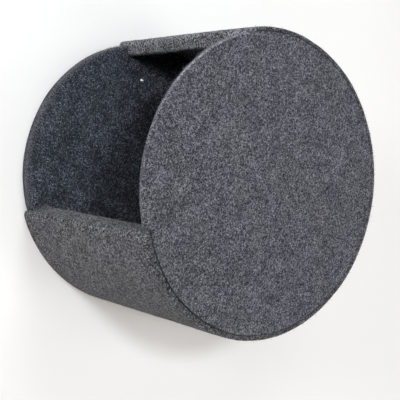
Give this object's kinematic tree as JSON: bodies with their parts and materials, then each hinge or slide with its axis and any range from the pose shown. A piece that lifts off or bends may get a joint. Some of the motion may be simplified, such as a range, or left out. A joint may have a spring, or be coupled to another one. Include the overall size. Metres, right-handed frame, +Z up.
{
  "type": "wall-mounted felt cat cave",
  "caption": "Round felt drum for a cat, screwed to a wall by its back panel, closed in front by a felt disc, with a way in at the upper left between turned-in lips.",
  "frame": {"origin": "centre of the round back face, which lies against the room's wall", "axes": "+Y along the drum's axis into the room's wall, +Z up, +X to the right as seen from the front; the way in is at the upper left"},
  "size_m": [0.3935, 0.3, 0.4],
  "materials": {
    "wall_felt": "thick pressed felt, heathered charcoal grey, matt",
    "front_felt": "thick pressed felt, heathered charcoal grey, matt",
    "back_felt": "heathered charcoal felt over a stiff board, matt",
    "screw_metal": "bright zinc plate"
  },
  "bodies": {
    "root": {"wall": "wall_felt", "front_panel": "front_felt", "back_panel": "back_felt", "mounting_screw": "screw_metal"}
  },
  "joints": []
}
